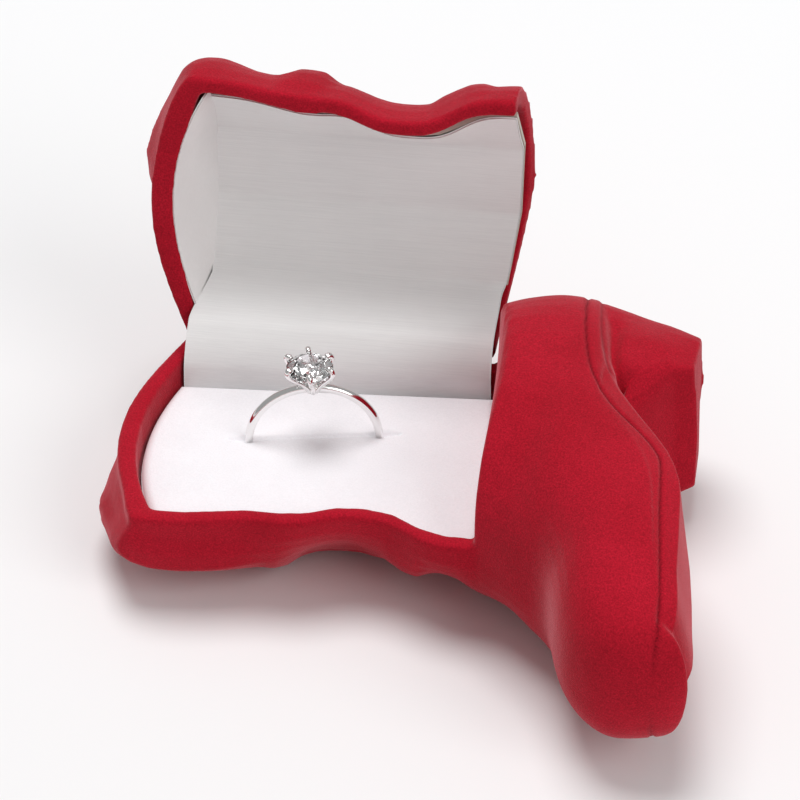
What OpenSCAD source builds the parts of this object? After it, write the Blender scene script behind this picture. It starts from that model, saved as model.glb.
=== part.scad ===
// Boot-shaped jewellery gift box: a ladies' ankle boot lying on its side. The slouched shaft is split at
// mid-thickness into a base and a hinged lid; the foot stays with the base. Millimetres, +Z up. The origin is
// on the table under the shaft, X runs from the boot top to the sole, +Y is the hinge (calf) side.

/* [Boot] */
// Width of the shaft, hinge line to front edge
shaft_w = 41.2; // [36:0.2:46]
// Length of the shaft along the front edge, up to the ankle cut
shaft_len = 47.2; // [43:0.2:52]
// Half of the boot's thickness at the ankle
half_t = 17; // [16:0.5:20]
// Wall of the moulded shells at the rim
wall = 2.3; // [1.8:0.1:2.8]
// How far the boot top bows out past the hinge corner
top_bow = 5.1; // [3:0.1:7]
// Depth of the deep drape fold in the front edge
fold_depth = 4.3; // [2:0.1:5]
// Fullness of the shaft's cross-section, 2 is an ellipse
fullness = 2.2; // [2:0.1:2.6]
// Gap between the lid and the foot at the ankle
ankle_gap = 0.5; // [0.4:0.05:1]
// Radius by which the ankle cut's upper edge is rounded, so the lid swings clear
ankle_round = 1.8; // [1.4:0.1:2.6]
// How far the lid stands open at rest
open_angle = 96.5; // [80:0.5:110]

/* [Foot] */
// Reach of the foot from the ankle cut to the sole
foot_reach = 31; // [28:0.5:34]
// Length of the foot, heel counter to toe
foot_len = 74.5; // [70:0.5:82]
// Half thickness of the heel block at the sole
heel_half = 10.2; // [8:0.2:11.5]
// Depth of the welt groove that follows the sole
welt_depth = 0.45; // [0.3:0.05:0.7]
// Distance of the welt groove in from the sole edge
welt_inset = 4.6; // [3.8:0.1:5.4]
// Diameter of the pegs that seat the foot cover in the base
peg_d = 3.6; // [3:0.1:4.2]

/* [Lining] */
// Depth of the velvet pad's surface below the rim
pad_drop = 3; // [2.4:0.1:4]
// Thickness of the lid's folded backing card
card_t = 0.7; // [0.5:0.05:0.9]
// How far the pad's back edge runs askew to the hinge, in degrees
pad_skew = 4.1; // [0:0.1:4.4]
// Thickness of the satin and of the pad's velvet
cloth_t = 0.4; // [0.3:0.05:0.6]
// Width of the slit that holds the ring
slit_w = 2.1; // [1.9:0.1:3]

/* [Hinge] */
// Length of the hinge
hinge_len = 35; // [30:0.5:38]
// Diameter of the hinge pin
pin_d = 1.2; // [1:0.1:1.4]
// Radial play of the pin in the lid's knuckles
pin_play = 0.05; // [0.03:0.01:0.08]
// Thickness of the hinge leaf sheet
leaf_t = 0.5; // [0.4:0.05:0.6]

/* [Ring] */
// Outside diameter of the ring band
ring_d = 19.8; // [18.6:0.1:20.6]
// Width of the ring band
band_w = 1.5; // [1.3:0.1:1.7]
// Radial thickness of the ring band
band_t = 0.95; // [0.8:0.05:1.2]
// Diameter of the stone
stone_d = 6; // [5.5:0.1:6.6]
// How far the ring is turned from the front edge
ring_turn = 15; // [5:1:25]

/* [Hidden] */
eps = 0.01;
land = 1;                              // straight land of the wall at the rim, before the section curves
rim_gap = 0.2;                         // between the closed rims; the hinge axis is half way
axis_z = rim_gap / 2;
back_y = -0.15;                        // outer face of the back wall, just inside the hinge axis
ankle_slant = 2;                       // the ankle cut's back end is this much nearer to the boot top
ankle_bow = 0.8;                       // hollow of the ankle cut
roof_wall = 2;                         // wall under the top of the section
end_r = 8;                             // length over which the boot top closes down
rest_z = half_t - 0.5;                 // the underside is flattened to stand
origin = [22, -20];                    // modelling point that becomes the frame's origin
reach_k = foot_reach / 31;
len_k = foot_len / 74.5;

// ---- curves
function lerp(a, b, t) = a + (b - a) * t;
function bump(u) = abs(u) >= 1 ? 0 : pow(1 - u * u, 2);
function ridge(u) = abs(u) >= 1 ? 0 : pow(1 - pow(u, 4), 2);
function lobe(a, n) = sign(cos(a)) * pow(abs(cos(a)), 2 / n);     // superellipse, across
function rise(a, n) = pow(abs(sin(a)), 2 / n);                    // superellipse, up
function dome(s, r) = s >= r ? 1 : pow(1 - pow(1 - s / r, 2.6), 1 / 2.6);
function crom(p, k, t) = let (n = len(p) - 1, a = p[max(k - 1, 0)], b = p[k], c = p[min(k + 1, n)],
    d = p[min(k + 2, n)]) 0.5 * (2 * b + (c - a) * t + (2 * a - 5 * b + 4 * c - d) * t * t
    + (3 * b - a - 3 * c + d) * t * t * t);
function spline(p, t) = let (k = min(floor(t), len(p) - 2)) crom(p, k, t - k);

// ---- shaft: station s runs along X from the boot top, angle a from the front rim (180) to the hinge (0)
function front_dent(x) = 1.9 * exp(-pow((x - 17) / 7, 2))
    + fold_depth * exp(-pow(abs(x - 31.3) / 7.6, 3));
function left_x(y) = let (t = max(0, -y / shaft_w)) 1.9 * t * t * t - 4.24 * top_bow * pow(t, 1.15) * (1 - t);
function ankle_x(y) = let (t = -y / shaft_w) shaft_len - ankle_slant * (1 - t)
    + ankle_bow * 4 * max(0, t * (1 - t));
// drape folds: [x at the front rim, lean toward the hinge, half width, height, middle angle, angle reach]
base_folds = [[4, 0, 15, 1.8, 153, 18], [4, 0, 14, -1.4, 124, 20], [11, 2, 9, 1, 106, 22],
    [27, 0, 8, -2.9, 136, 50], [39.5, 0, 8, -2.4, 132, 48], [37.6, 0, 3.6, 1.7, 142, 30],
    [40, 2, 7, 0.8, 70, 45], [8, 4, 7, 0.7, 50, 40]];
lid_folds = [[-2, 0, 12, 2, 140, 42], [15.8, 3, 4, 1.8, 146, 46], [28, 0, 8, -0.3, 140, 44],
    [38.2, 0, 4.6, 1, 146, 40], [47.5, 2, 4.5, 0.3, 150, 44], [25, 7, 8, 0.9, 90, 44], [9, 5, 7, 0.8, 60, 45],
    [40, 0, 7, 0.8, 70, 45]];
function drape(folds, x, a) = len(folds) == 0 ? 0 : [for (f = folds)
    f[3] * ridge((x - f[0] - f[1] * (180 - a) / 90) / f[2]) * bump((a - f[4]) / f[5])] * [for (f = folds) 1];
// the boot top swells past its rim and carries a raised cuff fold: reach past the rim at distance y from the
// hinge, height z and depth s into the shaft. swell: [of the whole end, place of the fold, its height]
base_swell = [1, -29.5, 2.6];
lid_swell = [0.4, -24.5, 2.8];
function cuff(swell, y, z, s) = (swell[0] * (1.7 * bump((y + 22) / 24) + 3.4 * bump((y + 40) / 14))
    * bump((z - 8.5) / 8.5) + swell[2] * bump((y - swell[1]) / 12) * bump((z - 9.5) / 4.8)) * bump(s / 14);
// upper edge of the ankle cut: set back by this much at height z
function set_back(z) = let (w = min(1, max(0, z - 0.35 * half_t) / (0.65 * half_t)))
    ankle_round * (1 - sqrt(1 - w * w));
function edge_z(x) = let (w = min(1, max(0, 1 - x / ankle_round)))
    0.35 * half_t + 0.65 * half_t * sqrt(1 - w * w);
// swell: how far the boot top swells, folds: the drape folds, back: the share of the ankle's rounding
function shaft_pt(s, a, inset, roof, folds, x_end, swell, back) = let (
    c = lobe(a, fullness), yf = -shaft_w + inset, yb = back_y - inset, up = rise(a, fullness),
    y0 = lerp(yf, yb, (1 + c) / 2), x0 = left_x(y0) + inset,
    x1 = ankle_x(y0) - x_end + back * set_back(land + (half_t - roof - land) * up), x = lerp(x0, x1, s),
    d = drape(folds, x, a), along = x - x0,
    e = dome(along + eps, end_r - inset * 1.7),
    y = y0 + (c < 0 ? front_dent(x) * pow(-c, 1.8) : 0) + d * c,
    z = land + (half_t - roof - land) * up * e + d * up * e)
    [x - (is_list(swell) ? cuff(swell, y0, z, along) : 0), y, z];
// stations: the closing of the boot top by even steps of height, then the length of the shaft
cap = [for (e = [0, 0.18, 0.34, 0.5, 0.64, 0.77, 0.88, 0.96]) end_r * (1 - pow(1 - pow(e, 2.6), 1 / 2.6))
    / (shaft_len + 2)];
function steps(n) = concat(cap, [for (i = [0:n - 8]) lerp(cap[7] + 0.02, 1, i / (n - 8))]);
function angles(m) = [for (j = [0:m]) 180 - 180 * j / m];
function shaft_grid(n, m, inset, roof, folds, x_end, swell = 0, back = 0) = [for (s = steps(n))
    [for (a = angles(m)) shaft_pt(s, a, inset, roof, folds, x_end, swell, back)]];

// ---- foot: each section runs from the instep edge A to the sole edge B
instep = [for (p = [[0, 0.2], [1, -0.5], [2.5, -1.6], [4.2, -3], [5.9, -4.4], [7.5, -5.7], [9, -7.1],
    [10.2, -8.8], [11.1, -10.8], [11.8, -13.2], [12.5, -16], [13.4, -19], [15, -22.3], [18, -25.3]])
    [shaft_len + p[0] * reach_k, -shaft_w + p[1] * len_k]];
sole = [for (p = [[0, 43.2], [3.5, 46.2], [9, 46.9], [13.4, 45], [15.2, 38], [15.8, 29], [17.4, 22.6],
    [21.4, 15.6], [25.6, 9.2], [28.4, 2.7], [29.6, -4.8], [30.4, -12.8], [31, -19.3], [29.8, -24.3]])
    [shaft_len - (p[0] == 0 ? ankle_slant : 0) + p[0] * reach_k,
    -shaft_w + (p[1] > 0 ? p[1] * shaft_w / 41.2 : p[1] * len_k)]];
swell = [1, 1.01, 1.01, 1, 1, 0.99, 0.97, 0.95, 0.92, 0.89, 0.84, 0.75, 0.64, 0.5];
crisp = [2.3, 2.3, 2.5, 2.8, 3.2, 3.6, 4, 4.4, 4.6, 4.6, 4.4, 4, 3.4, 3];
toe_bow = 1.9;
function toe_close(t) = let (u = (t - 12.4) / 0.6) u <= 0 ? 1 : sqrt(max(0, 1 - u * u));
function groove(d) = welt_depth * exp(-pow((d - welt_inset) / 0.42, 2));
// the columns of a foot section: the last ones sit at set distances in from the sole, for the welt groove
function foot_pt(t, a, inset, roof, back = 0) = let (
    A0 = spline(instep, t), B0 = spline(sole, t), w = norm(B0 - A0), dir = (B0 - A0) / w,
    A = A0 + dir * inset, B = B0 - dir * inset, n = a > 90 ? 2.3 : spline(crisp, t),
    c = lobe(a, n), v = (1 + c) / 2, p = lerp(A, B, v), d_sole = (1 - v) * w,
    late = max(0, t - 10) / 3, bow = toe_bow * late * late * 4 * v * (1 - v),
    h = (half_t * spline(swell, t) - roof - land) * rise(a, n) * toe_close(t),
    cut = inset == 0 && t > 1.2 && t < 12.5 ? groove(d_sole) * min(1, (t - 1.2) * 2) : 0,
    cut_x = shaft_len - ankle_slant * v + ankle_bow * 4 * v * (1 - v),
    x = p[0] + ankle_bow * 4 * v * (1 - v) * max(0, 1 - t / 1.5),
    top = back > 0 ? edge_z(x - cut_x) : half_t * 2)
    [x, p[1] - bow, min(top, land + max(0, h - cut))];
foot_angles = [180, 172, 164, 154, 142, 130, 118, 106, 94, 84, 74, 66, 58, 51, 47, 43.5, 40, 36.5, 33, 28,
    21, 13, 6, 0];
function foot_steps(n) = concat([0, 0.06, 0.16, 0.3, 0.5, 0.8], [for (i = [3:n]) let (u = i / n) 13
    * (u < 0.85 ? u / 0.85 * 0.92 : 0.92 + 0.08 * sin((u - 0.85) / 0.15 * 90))]);
function foot_grid(ts, as, inset, roof, back = 0) = [for (t = ts) [for (a = as) foot_pt(t, a, inset, roof,
    back)]];

// ---- heel block: D-shaped sections from the seat to the top-lift
function heel_grid(inset, x_in) = [for (k = [0:6]) let (u = k / 6, x = lerp(sole[4][0] - 5, sole[4][0] + 14
    * reach_k - x_in, u), yf = -shaft_w + 24.2 - 0.4 * u + inset, yb = -shaft_w
    + lerp(45.6, 41, u) + 5.6 * u * (1 - u) - inset,
    h = lerp(half_t * 0.86, heel_half, pow(u, 0.8)) - inset) [for (a = [180:-12:0]) let (
    n = a > 90 ? 6 : 2.5, up = rise(a, n), v = (1 + lobe(a, n)) / 2)
    [x - (0.13 * h * up + 1.5 * pow(v, 3.5)) * u, lerp(yf, yb, v), max(land, h * up)]]];

// ---- skins. block(): a grid closed by straight skirts and a floor; vessel(): a wall between two grids
function loop_of(g) = let (n = len(g) - 1, m = len(g[0]) - 1) concat([for (i = [0:n]) g[i][0]],
    [for (j = [1:m]) g[n][j]], [for (i = [n - 1:-1:0]) g[i][m]], [for (j = [m - 1:-1:1]) g[0][j]]);
function loop_ids(g) = let (n = len(g) - 1, m = len(g[0]) - 1, w = m + 1) concat([for (i = [0:n]) i * w],
    [for (j = [1:m]) n * w + j], [for (i = [n - 1:-1:0]) i * w + m], [for (j = [m - 1:-1:1]) j]);
function flat(g) = [for (r = g) each r];
function quads(g, k0) = let (w = len(g[0])) [for (i = [0:len(g) - 2]) for (j = [0:w - 2])
    let (q = k0 + i * w + j) each [[q, q + 1, q + w + 1], [q, q + w + 1, q + w]]];
function flip(f) = [for (t = f) [for (i = [len(t) - 1:-1:0]) t[i]]];
module block(g, floor_z) {
    edge = loop_of(g);
    ids = loop_ids(g);
    k = len(g) * len(g[0]);
    m = len(ids);
    pts = concat(flat(g), [for (p = edge) [p[0], p[1], floor_z]]);
    skirt = [for (i = [0:m - 1]) let (j = (i + 1) % m) [ids[i], ids[j], k + j, k + i]];
    polyhedron(pts, concat(quads(g, 0), skirt, [[for (i = [0:m - 1]) k + i]]), convexity = 6);
}
module vessel(go, gi, floor_z) {         // open at the last station
    n = len(go) - 1;
    w = len(go[0]);
    k = (n + 1) * w;
    side = concat([for (i = [n:-1:0]) i * w], [for (j = [1:w - 1]) j], [for (i = [1:n]) i * w + w - 1]);
    m = len(side);
    all_o = flat(go);
    all_i = flat(gi);
    low = function (p) [p[0], p[1], floor_z];
    pts = concat(all_o, all_i, [for (q = side) low(all_o[q])], [for (q = side) low(all_i[q])]);
    lo = 2 * k;
    li = 2 * k + m;
    wall_f = [for (i = [0:m - 2]) each [[side[i + 1], side[i], lo + i, lo + i + 1],
        [k + side[i], k + side[i + 1], li + i + 1, li + i], [lo + i, li + i, li + i + 1, lo + i + 1]]];
    last = [for (j = [0:w - 2]) let (a = n * w + j) [a, a + 1, k + a + 1, k + a]];
    ends = [[n * w, k + n * w, li, lo], [k + n * w + w - 1, n * w + w - 1, lo + m - 1, li + m - 1]];
    polyhedron(pts, concat(quads(go, 0), flip(quads(gi, k)), wall_f, last, ends), convexity = 6);
}
// the skins are cut from each other as meshes, before they become a solid
module as_one() resize([0, 0, 0]) children();
module place() translate([-origin[0], -origin[1], rest_z]) children();
// the lid's pieces are written closed and swung open about the hinge axis
module swing() translate([0, 0, axis_z]) rotate([-open_angle, 0, 0]) translate([0, 0, -axis_z]) children();
module under() mirror([0, 0, 1]) children();
module along_x(x, len) translate([x, 0, 0]) rotate([90, 0, 90]) linear_extrude(len) children();

// ---- shells
hinge_x = (shaft_len - ankle_slant - hinge_len) / 2 + 0.4;
knuckles = 5;
knuckle = hinge_len / knuckles;
barrel_r = pin_d / 2 + 0.55;
flange_back = 3.3;                      // how far a leaf reaches in over the rim
flange_z = 0.25;                        // a leaf's face is sunk this far under its rim
leg = 2.1;                              // a leaf's edge turns in behind the wall by this much
module hinge_seat() {                   // sunk seat for one leaf, written for the base
    translate([hinge_x - 0.2, -flange_back - 1, -flange_z - leaf_t - 0.05])
        cube([hinge_len + 0.4, flange_back + 2, 5]);
    translate([hinge_x - 0.2, 0, axis_z]) rotate([0, 90, 0])
        cylinder(r = barrel_r + 0.2, h = hinge_len + 0.4, $fn = 48);
}
pegs = [[shaft_len + 7, -15, 0.92], [shaft_len + 18, -47, 0.84]];    // the last value is the height reached
cavity_t = [for (k = [0:12]) lerp(0.9, 12.3, k / 12)];
cavity_a = [180, 160, 140, 115, 90, 65, 45, 22, 0];
module foot_half(back = 0) {            // a hollow half of the foot with its heel
    difference() {
        union() {
            block(foot_grid(foot_steps(30), foot_angles, 0, 0, back), 0);
            block(heel_grid(0, 0), 0);
        }
        block(foot_grid(cavity_t, cavity_a, wall, roof_wall), -1);
    }
}
module base_shell() color("firebrick") place() difference() {
    as_one() {
        under() difference() {
            block(shaft_grid(30, 20, 0, 0, base_folds, -1.2, base_swell), 0);
            block(shaft_grid(18, 14, wall, roof_wall, [], 0), -1);
            block(foot_grid(cavity_t, cavity_a, wall, roof_wall), -1);
        }
        under() foot_half();
        for (p = pegs) translate([p[0], p[1], -half_t * p[2]]) difference() {
            cylinder(d = peg_d + 3, h = half_t * p[2] - 0.5, $fn = 40);
            translate([0, 0, half_t * p[2] - 6]) cylinder(d = peg_d + 0.1, h = 10, $fn = 40);
        }
    }
    hinge_seat();
    translate([-50, -150, -rest_z - 20]) cube([200, 220, 20]);
}
module foot_cover() color("crimson") place() as_one() {
    foot_half(1);
    for (p = pegs) translate([p[0], p[1], -5]) cylinder(d = peg_d, h = 5 + half_t * p[2], $fn = 40);
}
module lid_shell() color("firebrick") place() swing() difference() {
    translate([0, 0, rim_gap]) vessel(shaft_grid(30, 20, 0, 0, lid_folds, ankle_gap, lid_swell, 1),
        shaft_grid(30, 20, wall, roof_wall, [], ankle_gap, 0, 1), 0);
    translate([0, 0, rim_gap]) under() hinge_seat();
}

// ---- pad
pad_in = wall + 0.5;
pad_back = -7.2;                        // the pad stops short of the wall, and the flap tucks in behind it
ring_at = [21.9, -17.7];
foam_top = -pad_drop - cloth_t - 0.05;
foam_low = roof_wall + 1.8 - half_t;
ring_z = foam_low + 2.2 + ring_d / 2;   // height of the band's centre
module pad_layer(low, t) intersection() {
    under() block(shaft_grid(18, 14, pad_in, roof_wall + 0.6, [], 0.5), -1);
    translate([0, pad_back, low]) rotate(pad_skew) translate([-30, -60, 0]) cube([90, 60, t]);
}
module slit(depth) translate([ring_at[0], ring_at[1], -pad_drop - depth]) rotate(ring_turn)
    translate([-ring_d / 2 - 2.2, -slit_w / 2, 0]) cube([ring_d + 4.4, slit_w, depth + 3]);
module pad_foam() color("whitesmoke") place() difference() {
    pad_layer(foam_low, foam_top - foam_low);
    slit(-pad_drop - foam_low - 1.9);
}
module pad_velvet() color("white") place() difference() {
    pad_layer(foam_top + 0.05, cloth_t);
    slit(5);
}
module pad_card() color("tan") place() pad_layer(foam_low - 0.05 - card_t, card_t);

// ---- lid lining: a folded card with satin on it, and the flap that hides the hinge
in_half = (shaft_w + back_y) / 2 - wall;
in_top = half_t - roof_wall;
mid_y = (-shaft_w + back_y) / 2;
// corner of the fold at distance y from the hinge, on the shell's inner section less a gap
function fold_pt(y, gap) = let (u = abs((y - mid_y) / in_half)) [y, rim_gap + land + (in_top - land - gap)
    * pow(1 - pow(u, fullness), 1 / fullness)];
creases = [fold_pt(-0.69 * shaft_w, 0.8), fold_pt(-0.403 * shaft_w, 0.3), fold_pt(-0.165 * shaft_w, 0.7)];
front_u = 0.965;                        // the lining starts this far out on the front wall's section
function lining_front(x) = fold_pt(mid_y - front_u * in_half, 0) + [0.7 + front_dent(x) * 0.95, -0.5];
function side_of(p, k) = let (a = p[max(k - 1, 0)], b = p[min(k + 1, len(p) - 1)], d = b - a)
    [d[1], -d[0]] / norm(d);
function ribbon(p, from, t) = concat([for (k = [0:len(p) - 1]) p[k] + from * side_of(p, k)],
    [for (k = [len(p) - 1:-1:0]) p[k] + (from + t) * side_of(p, k)]);
lining_x = 2.2;
// a sheet of cloth or card through one path for each station, its ends given for each point of the path
module sheet(paths, x0, x1, from, t) {
    n = len(paths) - 1;
    h = len(paths[0]);
    m = 2 * h;
    pts = [for (i = [0:n]) let (q = ribbon(paths[i], from, t)) for (k = [0:m - 1])
        let (b = min(k, m - 1 - k)) [lerp(x0[b], x1[b], i / n), q[k][0], q[k][1]]];
    cap = function (k0) [for (k = [0:h - 2]) [k0 + k, k0 + k + 1, k0 + m - 2 - k, k0 + m - 1 - k]];
    polyhedron(pts, concat(flip(cap(0)), cap(n * m), [for (i = [0:n - 1]) for (k = [0:m - 1])
        let (a = i * m + k, b = i * m + (k + 1) % m)
        each k < h ? [[a, b, b + m], [a, b + m, a + m]] : [[a, b, a + m], [b, b + m, a + m]]]));
}
// one layer of the lid's lining: its front edge follows the drape folds, its right end the ankle cut
lining_paths = [for (s = [0:1 / 16:1]) concat([lining_front(lerp(lining_x, shaft_len - ankle_gap - 1, s))],
    creases)];
lining_end = [for (p = lining_paths[0]) ankle_x(p[0]) - ankle_gap - 0.3 + set_back(p[1] - 0.5)];
module lining(from, t) sheet(lining_paths, [for (k = [0:3]) lining_x + (k == 0 ? 0.8 : 0)], lining_end, from, t);
module lid_card() color("tan") place() swing() lining(0.1, card_t);
module lid_satin() color("ghostwhite") place() swing() lining(0.15 + card_t, cloth_t);
end_t = 0.45;
module lid_end_card() color("white") place() swing() {
    ys = [for (k = [0:10]) lerp(-0.82, -0.135, k / 10) * shaft_w];
    x1 = lining_x - 0.2;
    // the card stops under the lining's edge and short of the shell's closing end
    row = function (y) let (inner = left_x(y) + wall, x0 = inner + 0.25, top = min(fold_pt(y, 2.2)[1],
        rim_gap + land + (fold_pt(y, 0)[1] - rim_gap - land)
        * dome(max(eps, x1 - end_t - inner), end_r - 1.7 * wall) - 0.4))
        [[x0, y, 0.5], [x0 + end_t, y, 0.5], [x1, y, top], [x1 - end_t, y, top]];
    pts = [for (y = ys) each row(y)];
    n = len(ys) - 1;
    polyhedron(pts, concat([[3, 2, 1, 0], [4 * n, 4 * n + 1, 4 * n + 2, 4 * n + 3]],
        [for (i = [0:n - 1]) for (j = [0:3]) let (a = 4 * i + j, b = 4 * i + (j + 1) % 4)
        each [[a, b, b + 4], [a, b + 4, a + 4]]]));
}
// the flap runs on from the lid's last panel, over the hinge, and tucks in behind the pad
function opened(p) = let (z = p[1] - axis_z, c = cos(open_angle), s = sin(open_angle))
    [p[0] * c + z * s, axis_z - p[0] * s + z * c];
last_panel = (creases[2] - creases[1]) / norm(creases[2] - creases[1]);
flap_in = (0.15 + card_t + cloth_t + 0.25) * [last_panel[1], -last_panel[0]];
flap_from = opened(creases[2] + flap_in);
function flap_path(x) = let (k = x * tan(pad_skew)) [for (i = [0:14]) spline([opened(creases[2] + flap_in
    - 3 * last_panel), flap_from, [lerp(flap_from[0], 0, 0.5), flange_back + 1.5], [0, flange_back + 0.9],
    [-3.4 + 0.2 * k, flange_back - 1.1], [-5.7 + 0.6 * k, -0.4], [-6.3 + 0.88 * k, -2.2], [-6.7 + k, -5]],
    i * 7 / 14)];
// inside the lid it clears the end wall, and below it spreads over the ends of both rims
flap_paths = [for (x = [0, shaft_len - ankle_slant]) flap_path(x)];
flap_left = [for (p = flap_paths[0]) lerp(0.8, lining_x + 0.3, min(1, max(0, p[0] + 1) / 9))];
flap_right = [for (p = flap_paths[0]) shaft_len - ankle_slant - 0.45];
module satin_flap() color("ivory") place() sheet(flap_paths, flap_left, flap_right, 0, cloth_t);

// ---- hinge: two sheet leaves with rolled knuckles on one pin
module leaf(first) {                    // written for the base; the lid's is its mirror image
    for (k = [0:knuckles - 1]) {
        mine = (k % 2 == 0) == first;
        x = hinge_x + k * knuckle + 0.1;
        difference() {
            union() {
                if (mine) translate([x, 0, axis_z]) rotate([0, 90, 0])
                    cylinder(r = barrel_r, h = knuckle - 0.2, $fn = 48);
                if (mine) translate([x, -1.6, -flange_z - leaf_t]) cube([knuckle - 0.2, 1.6, leaf_t]);
            }
            translate([x - 1, 0, axis_z]) rotate([0, 90, 0])
                cylinder(r = pin_d / 2 + (first ? 0 : pin_play), h = knuckle + 2, $fn = 48);
        }
    }
    translate([hinge_x + 0.1, -flange_back, -flange_z - leaf_t]) cube([hinge_len - 0.2, flange_back - 1.55,
        leaf_t]);
    translate([hinge_x + 0.1, -flange_back, -flange_z - leg]) cube([hinge_len - 0.2, leaf_t, leg - 0.1]);
}
module hinge_base_leaf() color("silver") place() leaf(true);
module hinge_lid_leaf() color("silver") place() swing() translate([0, 0, 2 * axis_z]) under() leaf(false);
module hinge_pin() color("gray") place() translate([hinge_x - 0.1, 0, axis_z]) rotate([0, 90, 0])
    cylinder(d = pin_d, h = hinge_len + 0.2, $fn = 48);

// ---- ring
module at_ring() place() translate([ring_at[0], ring_at[1], ring_z]) rotate(ring_turn) children();
ring_r = ring_d / 2;
head_z = ring_r - band_t + 0.1;         // where the prongs stand, astride the band
girdle_z = ring_r + 2.62;
prongs = 6;
prong_r = 0.4;
prong_in = band_w / 2 + 0.3;
prong_out = stone_d / 2 + 0.1;
module band_shape(grow) rotate([90, 0, 0]) rotate_extrude($fn = 96) polygon(concat(
    // D-shaped wire: flat inside, rounded outside
    [[ring_r - band_t - grow, band_w / 2 + grow], [ring_r - band_t - grow, -band_w / 2 - grow]],
    [for (k = [-5:5]) [ring_r + grow - 0.45 * band_t * k * k / 25, k / 10 * (band_w + 2 * grow)]]));
module ring_band() color("gainsboro") at_ring() band_shape(0);
// a rod from p to q, both [radius, height], on the prong's side
module rod(p, q, r) translate([p[0], 0, p[1]]) rotate([0, atan2(q[0] - p[0], q[1] - p[1]), 0])
    cylinder(r = r, h = norm(q - p), $fn = 20);
module prong(a) rotate(a) let (foot = [prong_in, head_z], knee = [prong_out, girdle_z - 0.5],
    tip = [prong_out - 0.3, girdle_z + 0.55]) {
    rod(foot, knee, prong_r);
    translate([knee[0], 0, knee[1]]) sphere(r = prong_r, $fn = 20);
    rod(knee, tip, prong_r);
    translate([tip[0], 0, tip[1]]) sphere(r = prong_r * 1.15, $fn = 20);
}
module ring_setting() color("silver") at_ring() difference() {
    union() {
        translate([0, 0, head_z + 0.3]) cylinder(r1 = prong_in + 0.1, r2 = prong_in + 0.6, h = 1.3, $fn = 40);
        for (k = [0:prongs - 1]) prong(360 / prongs * (k + 0.5));
    }
    translate([0, 0, girdle_z]) stone_solid(0.03);
    band_shape(0.02);
    rotate([90, 0, 0]) cylinder(r = ring_r - band_t, h = 8, center = true, $fn = 96);
}
// round brilliant: table, crown and pavilion facets from the standard proportions
module stone_solid(grow) {
    r = stone_d / 2 + grow;
    ring = function (q, z, n, turn) [for (i = [0:n - 1]) [q * cos(360 / n * i + turn),
        q * sin(360 / n * i + turn), z]];
    pts = concat(ring(0.55 * r, 0.33 * r, 8, 0), ring(0.8 * r, 0.2 * r, 8, 22.5), ring(r, 0.03 * r, 16, 0),
        ring(r, -0.03 * r, 16, 0), ring(0.36 * r, -0.62 * r, 8, 22.5), [[0, 0, -0.88 * r]]);
    hull() polyhedron(pts, concat([for (i = [0:len(pts) - 3]) [0, i + 1, i + 2]]));
}
module ring_stone() color("azure") at_ring() translate([0, 0, girdle_z]) stone_solid(0);

base_shell();
foot_cover();
lid_shell();
pad_card();
pad_foam();
pad_velvet();
lid_card();
lid_satin();
lid_end_card();
satin_flap();
hinge_base_leaf();
hinge_lid_leaf();
hinge_pin();
ring_band();
ring_setting();
ring_stone();
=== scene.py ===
"""Boot-shaped ring gift box: flocked shells, satin lining, velvet pad and a solitaire ring."""
import math

import bmesh
import bpy
import numpy as np
from mathutils import Matrix, Vector


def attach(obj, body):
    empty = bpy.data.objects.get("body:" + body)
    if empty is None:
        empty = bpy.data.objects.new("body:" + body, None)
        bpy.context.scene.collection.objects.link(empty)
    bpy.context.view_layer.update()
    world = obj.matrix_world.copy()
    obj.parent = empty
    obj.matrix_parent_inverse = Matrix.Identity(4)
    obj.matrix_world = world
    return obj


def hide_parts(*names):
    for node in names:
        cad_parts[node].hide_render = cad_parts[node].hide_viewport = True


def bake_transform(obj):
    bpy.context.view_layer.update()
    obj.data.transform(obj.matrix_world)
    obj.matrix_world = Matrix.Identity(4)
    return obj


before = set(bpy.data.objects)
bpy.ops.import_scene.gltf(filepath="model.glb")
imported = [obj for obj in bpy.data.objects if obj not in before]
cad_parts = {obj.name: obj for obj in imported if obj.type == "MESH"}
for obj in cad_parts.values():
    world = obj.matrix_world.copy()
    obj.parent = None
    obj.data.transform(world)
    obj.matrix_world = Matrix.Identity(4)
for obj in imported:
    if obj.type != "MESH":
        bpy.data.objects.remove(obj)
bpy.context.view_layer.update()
MM = 0.001
# The part's own values, in millimetres, repeated from part.scad.
SHAFT_W, SHAFT_LEN, HALF_T, WALL = 41.2, 47.2, 17.0, 2.3
BACK_Y, ROOF_WALL, RIM_GAP, LAND, FULL = -0.15, 2.0, 0.2, 1.0, 2.2
OPEN = math.radians(96.5)
ORIGIN = np.array([22.0, -20.0, -16.5])    # the frame's origin in modelling millimetres

# Values that only the visual uses, in millimetres.
VOXEL = 0.32                               # mesh size of the flocked skins
SKEW = math.tan(math.radians(4.1))         # how the pad's back edge runs off the hinge line
RING_AT, RING_R, RING_Z = (21.5, -17.05), 9.7, -3.1
RING_TURN = math.radians(11.3)
RING_LEAN = 0.13                           # the head's shift to the left for each mm above the band
GIRDLE = RING_R + 2.62                     # height of the stone's girdle over the ring's centre
FRONT_FOLD = 0.965                         # where the lining leaves the lid's front wall


def at(p):
    """Modelling millimetres to frame metres."""
    return (np.asarray(p, float) - ORIGIN) * MM


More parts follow.
